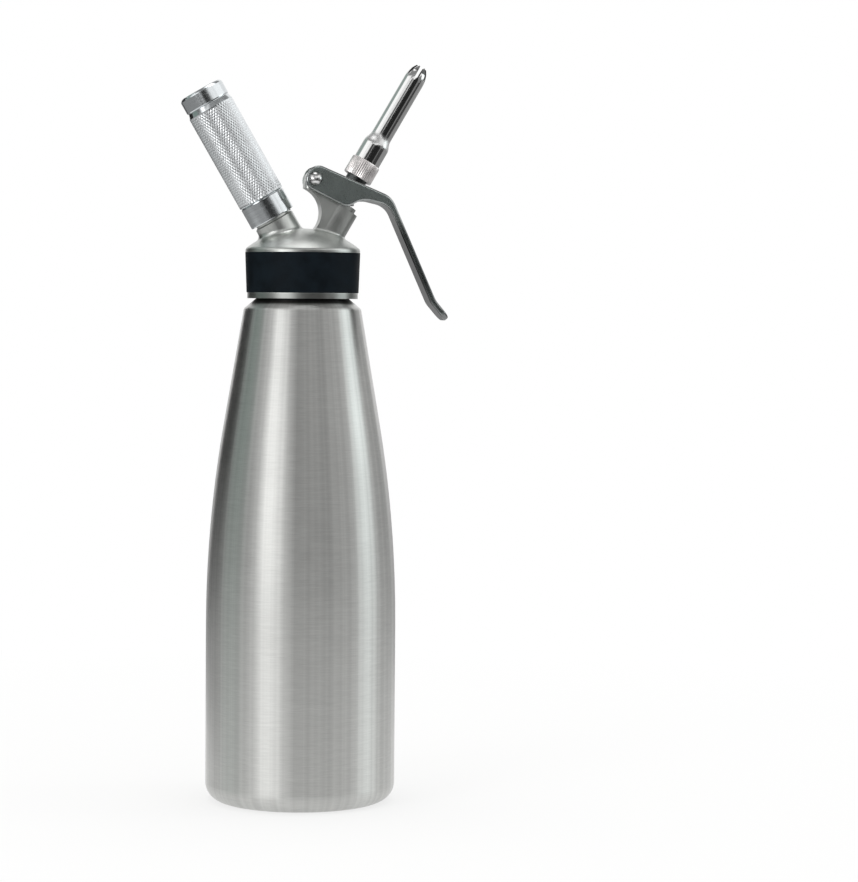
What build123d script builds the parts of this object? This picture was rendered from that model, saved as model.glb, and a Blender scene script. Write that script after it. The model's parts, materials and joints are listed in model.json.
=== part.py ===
"""Pressurised whipped cream dispenser, one litre, as separate named pieces.

The frame: the origin is the middle of the base, +Z is up the bottle's axis, +X leans towards the
lever and the decorator tip, and -X leans towards the charger holder. All lengths are millimetres.
"""

import os
from math import cos, radians, sin, tan

from build123d import *

# Every thread's rib: half its foot as a share of the pitch, its flank's run for each unit of depth,
# and how far it is sunk into the wall that carries it.
RIB_FOOT = 0.3
RIB_FLANK = 0.42
RIB_SUNK = 0.3
# Play left in front of a seal or a charger that something turns against.
SEAL_PLAY = 0.1

# Bottle
BODY_R = 46.2
BASE_CORNER_R = 9.0
STRAIGHT_TOP = 85.5
FLANK_R = 590.0
FLANK_SLOPE = 9.6
SHOULDER_Z = 239.9
SHOULDER_SLOPE = 39.5
SHOULDER_FILLET = 2.2
BOTTLE_WALL = 1.2
NECK_R = 22.0
NECK_BORE_R = 20.4
NECK_TOP = 260.0
MOUTH_FILLET = 0.5

# Screw thread between the bottle and the head
HEAD_PITCH = 4.0
HEAD_TURNS = 2.4
HEAD_BORE_TURNS = 2.1
NECK_THREAD_DEPTH = 1.2
NECK_THREAD_START = 248.0
HEAD_BORE_R = 23.7
HEAD_THREAD_DEPTH = 1.3

# Head casting and what lies round it
GASKET_H = 2.0
GASKET_R = 23.0
RIM_R = 26.8
RIM_BOTTOM = 244.8
RIM_TOP = 247.6
SKIRT_R = 26.0
BAND_TOP = 267.0
BAND_R_BOTTOM = 27.2
BAND_R_TOP = 27.9
LIP_R = 27.8
LIP_FILLET = 2.0
DOME_R = 43.5
DOME_TOP = 278.8
CHAMBER_R = 19.5
CHAMBER_SIDE_TOP = 266.5
CHAMBER_TOP = 272.0

# The charger neck and the valve neck lean apart from one point on the bottle's axis
CROSS_Z = 258.0
LEAN = 30.0

# Charger neck, piercer and charger
CHARGER_NECK_R = 10.0
CHARGER_NECK_T = 28.5
CHARGER_STUB_ROOT = 9.0
CHARGER_STUB_T = 38.0
CHARGER_PITCH = 2.5
CHARGER_TURNS = 3.0
STUB_THREAD_DEPTH = 0.75
STUB_THREAD_START = 29.4
PIERCER_R = 6.4
PIERCER_T = 25.0
PIERCER_BORE_R = 4.65
NOZZLE_R = 2.4
NOZZLE_T = 10.5
NOZZLE_BORE_R = 1.2
PIN_R = 1.0
CHARGER_R = 9.0
CHARGER_LENGTH = 65.5
CHARGER_NECK_LENGTH = 9.0
CHARGER_TIP_R = 4.35
CHARGER_WALL = 1.6
CHARGER_BASE_FILLET = 4.0
CHARGER_END_T = 30.0

# Charger holder
HOLDER_T = 29.6
HOLDER_LENGTH = 70.7
HOLDER_FOOT_R = 11.4
HOLDER_FOOT_H = 10.6
HOLDER_GRIP_R = 11.67
HOLDER_CAP_R = 11.3
HOLDER_CAP_H = 8.0
HOLDER_BORE_R = 9.3
HOLDER_THREAD_R = 10.05
HOLDER_THREAD_DEPTH = 0.7
HOLDER_TURNS = 2.6

# Valve neck and valve
WEB_HALF = 7.0
WEB_EDGE_FILLET = 1.8
WEB_FOOT_FILLET = 1.5
NECK_FOOT_FILLET = 2.5
BOSS_R = 9.3
BOSS_HALF = 7.12
BOSS_SHOULDER_T = 36.4
BOSS_TOP_T = 38.5
BOSS_TOP_R = 7.4
SEAT_T = 16.0
SEAT_BORE_R = 7.2
VALVE_HEAD_T = 9.4
VALVE_HEAD_R = 6.3
VALVE_SEAL_H = 2.8
STEM_R = 4.0
STEM_BORE_R = 2.5
STEM_BORE_T = 17.0
STEM_GROOVE_R = 3.2
STEM_RING_H = 1.6
STEM_RINGS_T = (22.5, 26.5)
PORT_T = 18.4
PORT_R = 1.1
RUNNING_FIT = 0.05
SPRING_POCKET_R = 5.7
SPRING_POCKET_T = 30.0
SPRING_R = 4.9
SPRING_WIRE_R = 0.55
SPRING_TURNS = 5.5
COLLAR_R = 6.9
COLLAR_NECK_R = 5.2
COLLAR_T = 43.6
COLLAR_CROWN_R = 12.0
CROWN_SHARE = 0.901
STEM_TOP_T = 58.0
ADAPTER_R = 7.3
ADAPTER_T = 52.6
ADAPTER_TOP_T = 61.6
SPIGOT_R = 4.6
SPIGOT_TOP_T = 66.2
SPIGOT_THREAD_DEPTH = 0.5
TIP_GASKET_H = 1.0
TIP_PITCH = 1.5
TIP_TURNS = 2.2
TIP_THREAD_START = 62.3

# Decorator tip
TIP_SKIRT_R = 6.6
TIP_SKIRT_TOP = 70.3
TIP_TUBE_R = 5.15
TIP_TUBE_BOTTOM = 76.0
TIP_OGIVE_T = 107.5
TIP_END_T = 115.0
TIP_END_R = 2.6
TIP_BORE_R = 4.2
TIP_OUTLET_R = 1.5
TIP_THREAD_R = 5.35
TIP_THREAD_DEPTH = 0.45
TIP_SLOTS = 6
TIP_SLOT_W = 2.0
TIP_SLOT_H = 6.0

# Lever
PIVOT_X = 5.0
PIVOT_Z = 302.6
LEVER_HALF = 9.3
LEVER_INNER_HALF = 7.3
PLATE_SLOPE = 23.0
PLATE_RISE = 7.0
PLATE_THICK = 2.2
ARM_X = 50.7
ARM_Z = 275.3
ARM_SLOPE = 66.3
ARM_THICK = 3.0
TOE_X = 64.2
TOE_Z = 244.5
TOE_SLOPE = 50.0
TOE_LENGTH = 10.8
TOE_CORNER_R = 5.0
HEEL_REACH = 4.4
CHEEK_SLOPE = 26.6
CHEEK_LOW_X = 20.2
CHEEK_LOW_Z = 288.9
ARCH_LEFT_X = 28.2
ARCH_LEFT_Z = 293.0
ARCH_RIGHT_Z = 290.1
PIN_SHAFT_R = 2.0
PIN_HEAD_R = 3.4
PIN_HEAD_H = 2.1
CLIP_R = 3.2
CLIP_GROOVE_R = 1.5
CLIP_THICK = 0.6
LUG_R = 4.2
LEVER_EDGE_FILLET = 1.0
CHANNEL_LENGTH = 26.5
CHANNEL_DEPTH = 20.0
SLOT_N = -0.5
SLOT_LENGTH = 13.6
SLOT_W = 11.2

LEAN_SIN = sin(radians(LEAN))
LEAN_COS = cos(radians(LEAN))
CROSSING = (0, 0, CROSS_Z)
# In these two planes local X runs across the leaning axis and local Y runs up along it.
charger_side = Plane(CROSSING, x_dir=(LEAN_COS, 0, LEAN_SIN), z_dir=(0, -1, 0))
valve_side = Plane(CROSSING, x_dir=(LEAN_COS, 0, -LEAN_SIN), z_dir=(0, -1, 0))
charger_axis = Axis(CROSSING, (-LEAN_SIN, 0, LEAN_COS))
valve_axis = Axis(CROSSING, (LEAN_SIN, 0, LEAN_COS))


def across(axis, distance):
    """The plane square to a leaning axis, at a distance along it from the crossing."""
    return Plane(axis.position + axis.direction * distance, x_dir=(0, 1, 0), z_dir=axis.direction)


def turned(points, plane, axis, mode=Mode.ADD):
    """Adds to the open part the solid that a closed half section makes when it turns about the axis."""
    with BuildSketch(plane) as section:
        with BuildLine():
            Polyline(*points, close=True)
        make_face()
    revolve(section.sketch, axis=axis, mode=mode)


def thread(axis, start, radius, depth, pitch, turns):
    """Adds a helical rib to the open part: outwards for a positive depth, inwards for a negative one."""
    sunk = -RIB_SUNK if depth > 0 else RIB_SUNK
    foot = RIB_FOOT * pitch
    crest = foot - RIB_FLANK * abs(depth)
    origin = axis.position + axis.direction * start
    with BuildLine() as path:
        Helix(pitch, pitch * turns, radius, center=origin, direction=axis.direction)
    begin = path.line @ 0
    with BuildSketch(Plane(begin, x_dir=begin - origin, z_dir=path.line % 0)) as rib:
        with BuildLine():
            Polyline((sunk, -foot), (depth, -crest), (depth, crest), (sunk, foot), close=True)
        make_face()
    sweep(rib.sketch, path=path.line, is_frenet=True)


def finish(builder, name):
    """Names a finished piece and writes it."""
    builder.part.label = name
    export_step(builder.part, f"parts/{name}.step")


os.makedirs("parts", exist_ok=True)

# ---------------------------------------------------------------- bottle


def bottle_section(inset, top, neck_r):
    """Half section of the bottle's body, moved in from the outer wall by the inset."""
    flank_x = BODY_R - FLANK_R
    reach = FLANK_R - inset
    flank_r = flank_x + reach * cos(radians(FLANK_SLOPE))
    flank_z = STRAIGHT_TOP + reach * sin(radians(FLANK_SLOPE))
    shoulder_z = SHOULDER_Z - 0.7 * inset
    shoulder_r = flank_r - (shoulder_z - flank_z) * tan(radians(FLANK_SLOPE))
    shoulder_top = shoulder_z + (shoulder_r - neck_r) * tan(radians(SHOULDER_SLOPE))
    corner = BASE_CORNER_R - inset
    side = BODY_R - inset
    with BuildSketch(Plane.XZ) as section:
        with BuildLine():
            Line((0, inset), (side - corner, inset))
            JernArc((side - corner, inset), (1, 0), corner, 90)
            Line((side, BASE_CORNER_R), (side, STRAIGHT_TOP))
            flank = JernArc((side, STRAIGHT_TOP), (0, 1), reach, FLANK_SLOPE)
            Polyline(flank @ 1, (shoulder_r, shoulder_z), (neck_r, shoulder_top), (neck_r, top), (0, top))
            Line((0, top), (0, inset))
        make_face()
        shoulder = section.vertices().group_by(Axis.Y)[-3]
        fillet(shoulder, SHOULDER_FILLET - 0.5 * inset)
    return section.sketch


with BuildPart() as bottle:
    revolve(bottle_section(0, NECK_TOP, NECK_R), axis=Axis.Z)
    revolve(bottle_section(BOTTLE_WALL, NECK_TOP, NECK_BORE_R), axis=Axis.Z, mode=Mode.SUBTRACT)
    fillet(bottle.faces().sort_by(Axis.Z)[-1].edges(), MOUTH_FILLET)
    thread(Axis.Z, NECK_THREAD_START, NECK_R, NECK_THREAD_DEPTH, HEAD_PITCH, HEAD_TURNS)
finish(bottle, "bottle")

# ---------------------------------------------------------------- gasket, head casting and grip band

HEAD_SEAT = NECK_TOP + GASKET_H + SEAL_PLAY

with BuildPart() as head_gasket:
    with BuildSketch(Plane.XY.offset(NECK_TOP)):
        Circle(GASKET_R)
        Circle(NECK_BORE_R, mode=Mode.SUBTRACT)
    extrude(amount=GASKET_H)
finish(head_gasket, "head_gasket")


def head_outside():
    """Half section of the skirt, the lip and the dome."""
    dome_foot = DOME_TOP - DOME_R + (DOME_R**2 - LIP_R**2) ** 0.5
    with BuildSketch(Plane.XZ) as section:
        with BuildLine():
            Polyline(
                (0, RIM_BOTTOM),
                (RIM_R, RIM_BOTTOM),
                (RIM_R, RIM_TOP),
                (SKIRT_R, RIM_TOP),
                (SKIRT_R, BAND_TOP),
                (LIP_R, BAND_TOP),
                (LIP_R, dome_foot),
            )
            RadiusArc((0, DOME_TOP), (LIP_R, dome_foot), DOME_R)
            Line((0, DOME_TOP), (0, RIM_BOTTOM))
        make_face()
        lip = section.vertices().group_by(Axis.X)[-1].sort_by(Axis.Y)[-1]
        fillet(lip, LIP_FILLET)
    return section.sketch


def head_inside():
    """Half section of the threaded bore and the chamber above the bottle's mouth."""
    with BuildSketch(Plane.XZ) as section:
        with BuildLine():
            Polyline(
                (0, RIM_BOTTOM),
                (HEAD_BORE_R + 0.8, RIM_BOTTOM),
                (HEAD_BORE_R, RIM_BOTTOM + 0.8),
                (HEAD_BORE_R, HEAD_SEAT),
                (CHAMBER_R, HEAD_SEAT),
                (CHAMBER_R, CHAMBER_SIDE_TOP),
            )
            ThreePointArc(
                (CHAMBER_R, CHAMBER_SIDE_TOP),
                (0.6 * CHAMBER_R, CHAMBER_TOP - 1.9),
                (0, CHAMBER_TOP),
            )
            Line((0, CHAMBER_TOP), (0, RIM_BOTTOM))
        make_face()
    return section.sketch


# The valve neck's web has a lug for the lever's pin and a round hollow under it.
PIVOT_N = PIVOT_X * LEAN_COS - (PIVOT_Z - CROSS_Z) * LEAN_SIN
PIVOT_T = PIVOT_X * LEAN_SIN + (PIVOT_Z - CROSS_Z) * LEAN_COS
LUG_BEYOND_X = PIVOT_X - 0.4
LUG_BEYOND_Z = PIVOT_Z - 2.6
HOLLOW_X = -4.3
HOLLOW_Z = 286.7
HOLLOW_R = 12.6
NECK_FOOT_T = 8.0


def by_valve(n, t):
    """World X and Z of the point n across the valve axis and t along it."""
    return (n * LEAN_COS + t * LEAN_SIN, CROSS_Z - n * LEAN_SIN + t * LEAN_COS)


def web_outline():
    """The side view of the web, from the lug down into the dome and across to the valve axis."""
    lean = (LUG_BEYOND_Z - PIVOT_Z, PIVOT_X - LUG_BEYOND_X)
    upward = LUG_R / (lean[0] ** 2 + lean[1] ** 2) ** 0.5
    with BuildSketch(Plane.XZ) as outline:
        with BuildLine():
            Polyline(
                by_valve(1.0, NECK_FOOT_T),
                by_valve(1.0, BOSS_TOP_T),
                by_valve(PIVOT_N + LUG_R, BOSS_TOP_T),
                by_valve(PIVOT_N + LUG_R, PIVOT_T),
                (PIVOT_X, PIVOT_Z),
                (PIVOT_X + upward * lean[0], PIVOT_Z + upward * lean[1]),
                (LUG_BEYOND_X + upward * lean[0], LUG_BEYOND_Z + upward * lean[1]),
                (LUG_BEYOND_X, LUG_BEYOND_Z),
                (LUG_BEYOND_X - LUG_R, LUG_BEYOND_Z),
                (LUG_BEYOND_X - LUG_R, 272.0),
                close=True,
            )
        make_face()
        with Locations((PIVOT_X, PIVOT_Z), (LUG_BEYOND_X, LUG_BEYOND_Z)):
            Circle(LUG_R)
    return outline.sketch


def boss(start, end, radius):
    """Adds a length of the oval boss round the valve axis."""
    with BuildSketch(across(valve_axis, start)) as section:
        Ellipse(BOSS_HALF, radius)
    extrude(section.sketch, amount=end - start)


def on_dome(edge):
    """True for an edge that lies in the dome's round face above the lip."""
    centre = Vector(0, 0, DOME_TOP - DOME_R)
    return all(abs((edge @ share - centre).length - DOME_R) < 0.02 for share in (0, 0.3, 0.7, 1))


with BuildPart() as head_body:
    # Web, lug and boss, with a round hollow under the lug and soft edges along it.
    extrude(web_outline(), amount=WEB_HALF, both=True)
    boss(NECK_FOOT_T, BOSS_SHOULDER_T, BOSS_R)
    boss(BOSS_SHOULDER_T, BOSS_TOP_T, BOSS_TOP_R)
    with BuildSketch(Plane.XZ):
        with Locations((HOLLOW_X, HOLLOW_Z)):
            Circle(HOLLOW_R)
    extrude(amount=2 * WEB_HALF, both=True, mode=Mode.SUBTRACT)
    outline_edges = head_body.faces().filter_by(Axis.Y).edges()
    left_edges = outline_edges.filter_by_position(Axis.X, -20, PIVOT_X + 3.0)
    fillet(left_edges.filter_by_position(Axis.Z, 277, 320), WEB_EDGE_FILLET)
    # Skirt, lip and dome, the charger neck, and the soft corners of the casting.
    revolve(head_outside(), axis=Axis.Z)
    charger_neck = [
        (0, NECK_FOOT_T),
        (CHARGER_NECK_R, NECK_FOOT_T),
        (CHARGER_NECK_R, CHARGER_NECK_T - 0.5),
        (CHARGER_NECK_R - 0.5, CHARGER_NECK_T),
        (0, CHARGER_NECK_T),
    ]
    turned(charger_neck, charger_side, charger_axis)
    feet = head_body.edges().filter_by(on_dome)
    fillet(feet.filter_by_position(Axis.X, -22, -12), NECK_FOOT_FILLET)
    feet = head_body.edges().filter_by(on_dome)
    fillet(feet.filter_by_position(Axis.X, 0, 24), WEB_FOOT_FILLET)
    # Inside: threaded bore, chamber, valve seat bore and the ways out to the valve and the charger.
    revolve(head_inside(), axis=Axis.Z, mode=Mode.SUBTRACT)
    valve_bores = [
        (0, 6.0),
        (SEAT_BORE_R, 6.0),
        (SEAT_BORE_R, SEAT_T),
        (STEM_R + RUNNING_FIT, SEAT_T),
        (STEM_R + RUNNING_FIT, SPRING_POCKET_T),
        (SPRING_POCKET_R, SPRING_POCKET_T),
        (SPRING_POCKET_R, BOSS_TOP_T + 1),
        (0, BOSS_TOP_T + 1),
    ]
    turned(valve_bores, valve_side, valve_axis, Mode.SUBTRACT)
    # The stub that takes the charger holder's thread, and the piercer's bore through it.
    stub = [
        (0, CHARGER_NECK_T),
        (CHARGER_STUB_ROOT, CHARGER_NECK_T),
        (CHARGER_STUB_ROOT, CHARGER_STUB_T - 0.6),
        (CHARGER_STUB_ROOT - 0.6, CHARGER_STUB_T),
        (0, CHARGER_STUB_T),
    ]
    turned(stub, charger_side, charger_axis)
    thread(
        charger_axis, STUB_THREAD_START, CHARGER_STUB_ROOT, STUB_THREAD_DEPTH, CHARGER_PITCH, CHARGER_TURNS
    )
    piercer_bores = [
        (0, NOZZLE_T),
        (NOZZLE_R + 0.1, NOZZLE_T),
        (NOZZLE_R + 0.1, PIERCER_T),
        (PIERCER_R, PIERCER_T),
        (PIERCER_R, CHARGER_STUB_T + 1),
        (0, CHARGER_STUB_T + 1),
    ]
    turned(piercer_bores, charger_side, charger_axis, Mode.SUBTRACT)
    # Lever pin's hole through the lug.
    with BuildSketch(Plane.XZ):
        with Locations((PIVOT_X, PIVOT_Z)):
            Circle(PIN_SHAFT_R)
    extrude(amount=WEB_HALF + 1, both=True, mode=Mode.SUBTRACT)
    head_thread_start = NECK_THREAD_START + 0.5 * HEAD_PITCH
    thread(Axis.Z, head_thread_start, HEAD_BORE_R, -HEAD_THREAD_DEPTH, HEAD_PITCH, HEAD_BORE_TURNS)
finish(head_body, "head_body")

with BuildPart() as grip_band:
    with BuildSketch(Plane.XZ) as band_section:
        with BuildLine():
            Polyline(
                (SKIRT_R, RIM_TOP),
                (BAND_R_BOTTOM, RIM_TOP),
                (BAND_R_TOP, BAND_TOP),
                (SKIRT_R, BAND_TOP),
                close=True,
            )
        make_face()
        fillet(band_section.vertices().filter_by_position(Axis.X, SKIRT_R + 0.5, LIP_R), 0.4)
    revolve(axis=Axis.Z)
finish(grip_band, "grip_band")

# ---------------------------------------------------------------- piercer, seals and charger

with BuildPart() as piercer_body:
    plug = [
        (0, NOZZLE_T),
        (NOZZLE_R, NOZZLE_T),
        (NOZZLE_R, PIERCER_T),
        (PIERCER_R, PIERCER_T),
        (PIERCER_R, CHARGER_STUB_T - 0.4),
        (PIERCER_BORE_R, CHARGER_STUB_T - 0.4),
        (PIERCER_BORE_R, PIERCER_T + 3.0),
        (0, PIERCER_T + 3.0),
    ]
    turned(plug, charger_side, charger_axis)
    # Groove for the outer seal ring, and groove for the check valve sleeve on the nozzle.
    groove = [
        (PIERCER_R - 1.2, PIERCER_T + 1.2),
        (PIERCER_R, PIERCER_T + 1.2),
        (PIERCER_R, PIERCER_T + 3.0),
        (PIERCER_R - 1.2, PIERCER_T + 3.0),
    ]
    turned(groove, charger_side, charger_axis, Mode.SUBTRACT)
    # The pin's seat, the gas passage beside it and the blind bore down the nozzle.
    with BuildSketch(across(charger_axis, PIERCER_T + 3.0)):
        Circle(PIN_R)
    extrude(amount=-3.0, mode=Mode.SUBTRACT)
    with BuildSketch(across(charger_axis, PIERCER_T)):
        Circle(NOZZLE_BORE_R)
    extrude(amount=NOZZLE_T + 1.2 - PIERCER_T, mode=Mode.SUBTRACT)
    with BuildSketch(across(charger_axis, PIERCER_T + 3.0)):
        with PolarLocations(1.55, 3):
            Circle(0.4)
    extrude(amount=-3.4, mode=Mode.SUBTRACT)
    with BuildSketch(charger_side):
        with Locations((0, NOZZLE_T + 2.2)):
            Circle(0.6)
    extrude(amount=2 * NOZZLE_R, both=True, mode=Mode.SUBTRACT)
finish(piercer_body, "piercer_body")

with BuildPart() as check_valve_sleeve:
    sleeve = [
        (NOZZLE_R, NOZZLE_T + 0.8),
        (NOZZLE_R + 0.8, NOZZLE_T + 0.8),
        (NOZZLE_R + 0.8, NOZZLE_T + 3.2),
        (NOZZLE_R, NOZZLE_T + 3.2),
    ]
    turned(sleeve, charger_side, charger_axis)
finish(check_valve_sleeve, "check_valve_sleeve")

with BuildPart() as piercer_seal_ring:
    ring = [
        (PIERCER_R - 1.2, PIERCER_T + 1.2),
        (PIERCER_R, PIERCER_T + 1.2),
        (PIERCER_R, PIERCER_T + 3.0),
        (PIERCER_R - 1.2, PIERCER_T + 3.0),
    ]
    turned(ring, charger_side, charger_axis)
finish(piercer_seal_ring, "piercer_seal_ring")

with BuildPart() as charger_seal:
    washer = [
        (PIN_R + 1.1, PIERCER_T + 3.0),
        (PIERCER_BORE_R, PIERCER_T + 3.0),
        (PIERCER_BORE_R, CHARGER_END_T),
        (PIN_R + 1.1, CHARGER_END_T),
    ]
    turned(washer, charger_side, charger_axis)
finish(charger_seal, "charger_seal")

with BuildPart() as piercing_pin:
    pin = [
        (0, PIERCER_T + 0.4),
        (PIN_R, PIERCER_T + 0.4),
        (PIN_R, CHARGER_END_T + 0.8),
        (0, CHARGER_END_T + 2.4),
    ]
    turned(pin, charger_side, charger_axis)
finish(piercing_pin, "piercing_pin")


def charger_section(inset):
    """Half section of the gas charger, moved in from the outside by the inset."""
    end = CHARGER_END_T + inset
    base = CHARGER_END_T + CHARGER_LENGTH - inset
    body_r = CHARGER_R - inset
    tip_r = CHARGER_TIP_R - inset
    shoulder_t = CHARGER_END_T + CHARGER_NECK_LENGTH
    body_t = shoulder_t + 9.0
    with BuildSketch(charger_side) as section:
        with BuildLine():
            Polyline((0, end), (tip_r, end), (tip_r, shoulder_t))
            Spline((tip_r, shoulder_t), (body_r, body_t), tangents=((0.35, 1), (0, 1)))
            Line((body_r, body_t), (body_r, base - CHARGER_BASE_FILLET))
            JernArc((body_r, base - CHARGER_BASE_FILLET), (0, 1), CHARGER_BASE_FILLET, 90)
            Polyline((body_r - CHARGER_BASE_FILLET, base), (0, base), (0, end))
        make_face()
    return section.sketch


with BuildPart() as charger:
    revolve(charger_section(0), axis=charger_axis)
    revolve(charger_section(CHARGER_WALL), axis=charger_axis, mode=Mode.SUBTRACT)
    with BuildSketch(across(charger_axis, CHARGER_END_T)):
        Circle(PIN_R + RUNNING_FIT)
    extrude(amount=CHARGER_WALL + 0.5, mode=Mode.SUBTRACT)
finish(charger, "charger")

# ---------------------------------------------------------------- charger holder

with BuildPart() as charger_holder:
    holder_top = HOLDER_T + HOLDER_LENGTH
    grip_bottom = HOLDER_T + HOLDER_FOOT_H
    grip_top = holder_top - HOLDER_CAP_H
    bevel = 1.2
    shell = [
        (0, HOLDER_T),
        (HOLDER_FOOT_R - 0.3, HOLDER_T),
        (HOLDER_FOOT_R, HOLDER_T + 0.3),
        (HOLDER_FOOT_R, grip_bottom - 0.35),
        (HOLDER_FOOT_R - 0.45, grip_bottom),
        (HOLDER_GRIP_R, grip_bottom + 0.45),
        (HOLDER_GRIP_R, grip_top - bevel),
        (HOLDER_CAP_R - 0.5, grip_top),
        (HOLDER_CAP_R, grip_top + 0.5),
        (HOLDER_CAP_R, holder_top - bevel),
        (HOLDER_CAP_R - 0.4 * bevel, holder_top - 0.35 * bevel),
        (HOLDER_CAP_R - bevel, holder_top),
        (0, holder_top),
    ]
    turned(shell, charger_side, charger_axis)
    thread_top = CHARGER_STUB_T + 0.8
    charger_base = CHARGER_END_T + CHARGER_LENGTH + SEAL_PLAY
    pocket = [
        (0, HOLDER_T - 1),
        (HOLDER_THREAD_R, HOLDER_T - 1),
        (HOLDER_THREAD_R, thread_top),
        (HOLDER_BORE_R, thread_top + 0.8),
        (HOLDER_BORE_R, charger_base),
        (0, charger_base),
    ]
    turned(pocket, charger_side, charger_axis, Mode.SUBTRACT)
    holder_thread_start = STUB_THREAD_START + 0.5 * CHARGER_PITCH
    thread(
        charger_axis, holder_thread_start, HOLDER_THREAD_R, -HOLDER_THREAD_DEPTH, CHARGER_PITCH, HOLDER_TURNS
    )
finish(charger_holder, "charger_holder")

# ---------------------------------------------------------------- valve

with BuildPart() as valve_stem:
    stem = [
        (0, VALVE_HEAD_T),
        (VALVE_HEAD_R - 1.4, VALVE_HEAD_T),
        (VALVE_HEAD_R, VALVE_HEAD_T + 1.4),
        (VALVE_HEAD_R, SEAT_T - VALVE_SEAL_H),
        (STEM_R, SEAT_T - VALVE_SEAL_H),
        (STEM_R, STEM_TOP_T),
        (0, STEM_TOP_T),
    ]
    turned(stem, valve_side, valve_axis)
    for ring_t in STEM_RINGS_T:
        groove = [
            (STEM_GROOVE_R, ring_t),
            (STEM_R + 1, ring_t),
            (STEM_R + 1, ring_t + STEM_RING_H),
            (STEM_GROOVE_R, ring_t + STEM_RING_H),
        ]
        turned(groove, valve_side, valve_axis, Mode.SUBTRACT)
    with BuildSketch(across(valve_axis, STEM_TOP_T)):
        Circle(STEM_BORE_R)
    extrude(amount=STEM_BORE_T - STEM_TOP_T, mode=Mode.SUBTRACT)
    # Four ports that open under the seat when the stem is pressed down.
    with BuildSketch(valve_side):
        with Locations((0, PORT_T)):
            Circle(PORT_R)
    extrude(amount=STEM_R + 1, both=True, mode=Mode.SUBTRACT)
    port_plane = Plane(valve_side.origin, x_dir=(0, 1, 0), z_dir=valve_side.x_dir)
    with BuildSketch(port_plane):
        with Locations((0, -PORT_T)):
            Circle(PORT_R)
    extrude(amount=STEM_R + 1, both=True, mode=Mode.SUBTRACT)
finish(valve_stem, "valve_stem")

with BuildPart() as valve_seal:
    with BuildSketch(across(valve_axis, SEAT_T)):
        Circle(VALVE_HEAD_R)
        Circle(STEM_R, mode=Mode.SUBTRACT)
    extrude(amount=-VALVE_SEAL_H)
finish(valve_seal, "valve_seal")

for ring_name, ring_t in zip(("stem_ring_lower", "stem_ring_upper"), STEM_RINGS_T):
    with BuildPart() as stem_ring:
        with BuildSketch(across(valve_axis, ring_t)):
            Circle(STEM_R + 0.6 * RUNNING_FIT)
            Circle(STEM_GROOVE_R, mode=Mode.SUBTRACT)
        extrude(amount=STEM_RING_H)
    finish(stem_ring, ring_name)

# The plate of the lever lies askew to the valve axis by this angle, and meets it at this height.
PLATE_SKEW = radians(LEAN - PLATE_SLOPE)
PLATE_UNDER = PLATE_RISE - PLATE_THICK
PLATE_UNDER_T = PIVOT_T + PLATE_UNDER / cos(PLATE_SKEW) - PIVOT_N * tan(PLATE_SKEW)
CROWN_CENTRE_T = PLATE_UNDER_T - CROWN_SHARE * COLLAR_CROWN_R

with BuildPart() as spring_collar:
    crown_side = CROWN_CENTRE_T + (COLLAR_CROWN_R**2 - COLLAR_R**2) ** 0.5
    crown_top = CROWN_CENTRE_T + (COLLAR_CROWN_R**2 - COLLAR_NECK_R**2) ** 0.5
    with BuildSketch(valve_side) as collar_section:
        with BuildLine():
            Polyline(
                (COLLAR_NECK_R, crown_top),
                (COLLAR_NECK_R, ADAPTER_T),
                (STEM_R, ADAPTER_T),
                (STEM_R, COLLAR_T),
                (COLLAR_R, COLLAR_T),
                (COLLAR_R, crown_side),
            )
            RadiusArc((COLLAR_NECK_R, crown_top), (COLLAR_R, crown_side), COLLAR_CROWN_R)
        make_face()
    revolve(collar_section.sketch, axis=valve_axis)
finish(spring_collar, "spring_collar")

with BuildPart() as valve_spring:
    spring_start = SPRING_POCKET_T + SPRING_WIRE_R + 0.05
    spring_length = COLLAR_T - SPRING_WIRE_R - 0.05 - spring_start
    spring_origin = valve_axis.position + valve_axis.direction * spring_start
    with BuildLine() as coil:
        Helix(
            spring_length / SPRING_TURNS,
            spring_length,
            SPRING_R,
            center=spring_origin,
            direction=valve_axis.direction,
        )
    with BuildSketch(Plane(coil.line @ 0, z_dir=coil.line % 0)) as wire:
        Circle(SPRING_WIRE_R)
    sweep(wire.sketch, path=coil.line, is_frenet=True)
finish(valve_spring, "valve_spring")

with BuildPart() as tip_adapter:
    adapter = [
        (0, ADAPTER_T),
        (ADAPTER_R - 0.4, ADAPTER_T),
        (ADAPTER_R, ADAPTER_T + 0.4),
        (ADAPTER_R, ADAPTER_TOP_T - 0.4),
        (ADAPTER_R - 0.4, ADAPTER_TOP_T),
        (SPIGOT_R, ADAPTER_TOP_T),
        (SPIGOT_R, SPIGOT_TOP_T - 0.3),
        (SPIGOT_R - 0.3, SPIGOT_TOP_T),
        (0, SPIGOT_TOP_T),
    ]
    turned(adapter, valve_side, valve_axis)
    thread(valve_axis, TIP_THREAD_START, SPIGOT_R, SPIGOT_THREAD_DEPTH, TIP_PITCH, TIP_TURNS)
    adapter_bores = [
        (0, ADAPTER_T - 1),
        (STEM_R, ADAPTER_T - 1),
        (STEM_R, STEM_TOP_T + TIP_GASKET_H),
        (STEM_BORE_R, STEM_TOP_T + TIP_GASKET_H),
        (STEM_BORE_R, SPIGOT_TOP_T + 1),
        (0, SPIGOT_TOP_T + 1),
    ]
    turned(adapter_bores, valve_side, valve_axis, Mode.SUBTRACT)
finish(tip_adapter, "tip_adapter")

with BuildPart() as adapter_gasket:
    with BuildSketch(across(valve_axis, STEM_TOP_T)):
        Circle(STEM_R)
        Circle(STEM_BORE_R, mode=Mode.SUBTRACT)
    extrude(amount=TIP_GASKET_H)
finish(adapter_gasket, "adapter_gasket")

# ---------------------------------------------------------------- decorator tip

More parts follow.
